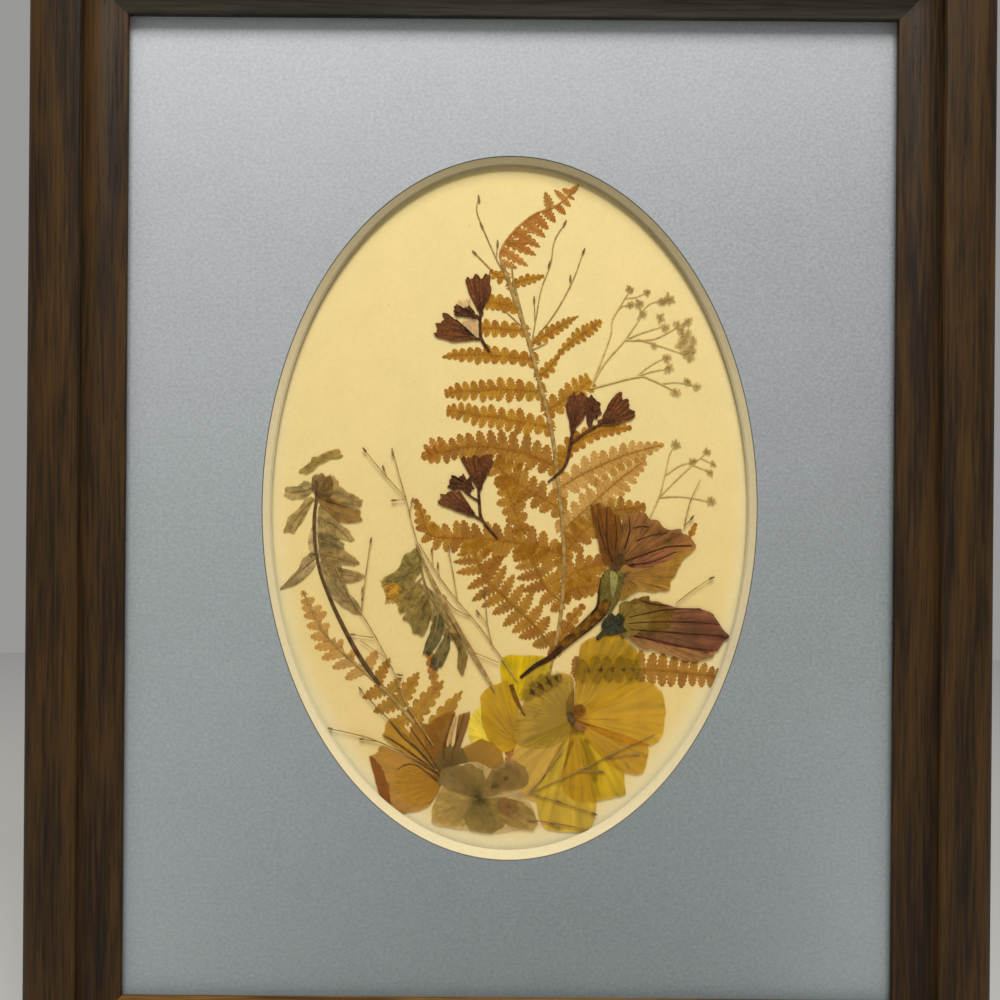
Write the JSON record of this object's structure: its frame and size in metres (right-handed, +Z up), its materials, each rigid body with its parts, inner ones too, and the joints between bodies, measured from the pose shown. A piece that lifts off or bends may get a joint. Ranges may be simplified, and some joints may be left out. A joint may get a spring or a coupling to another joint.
{
  "type": "pressed flower frame",
  "caption": "Dried ferns, flowers and twigs pressed on a cream card behind an oval window mat and glass, in a mitred wooden frame that hangs on a wall.",
  "frame": {"origin": "the hanging point: the middle of the hanger's back, on the wall plane", "axes": "+Z up, -Y out of the wall towards the viewer, +X to the viewer's right"},
  "size_m": [0.2292, 0.022, 0.2799],
  "materials": {
    "stained_wood": "satin",
    "glass": "gloss",
    "mat_paper": "matte",
    "cream_card": "matte",
    "backing_board": "matte",
    "steel": "satin",
    "fern": "matte",
    "coral_bell": "matte",
    "umbel": "matte",
    "olive_leaf": "matte",
    "mauve_petal": "matte",
    "yellow_petal": "matte",
    "brown_petal": "matte",
    "grey_petal": "matte",
    "twig": "matte"
  },
  "bodies": {
    "root": {"frame_rail_bottom": "stained_wood", "frame_rail_top": "stained_wood", "frame_rail_left": "stained_wood", "frame_rail_right": "stained_wood", "glass_pane": "glass", "window_mat": "mat_paper", "mount_card": "cream_card", "backing_board": "backing_board", "glazier_point_1": "steel", "glazier_point_2": "steel", "glazier_point_3": "steel", "glazier_point_4": "steel", "glazier_point_5": "steel", "glazier_point_6": "steel", "sawtooth_hanger": "steel", "hanger_nail_left": "steel", "hanger_nail_right": "steel", "fern_frond": "fern", "fern_sprig_left": "fern", "fern_sprig_right": "fern", "fern_scrap_upper": "fern", "fern_scrap_lower": "fern", "fern_scrap_foot": "fern", "coral_bell_sprig_top": "coral_bell", "coral_bell_sprig_right": "coral_bell", "coral_bell_sprig_left": "coral_bell", "umbel_sprig_upper": "umbel", "umbel_sprig_lower": "umbel", "lobed_leaf_left": "olive_leaf", "lobed_leaf_fragment": "olive_leaf", "lobed_leaf_middle": "olive_leaf", "yellow_petals_left": "yellow_petal", "yellow_flower": "yellow_petal", "brown_flower": "brown_petal", "grey_flower": "grey_petal", "mauve_flower_upper": "mauve_petal", "mauve_flower_lower": "mauve_petal", "stem_stub": "twig", "twig_top_left": "twig", "twig_top_left_low": "twig", "twig_top_right": "twig", "twig_long": "twig", "twig_long_thin": "twig", "twig_left": "twig", "twig_bottom_left": "twig", "twig_bottom_right": "twig", "twig_bottom_low": "twig", "twig_right": "twig", "twig_right_low": "twig"}
  },
  "joints": []
}
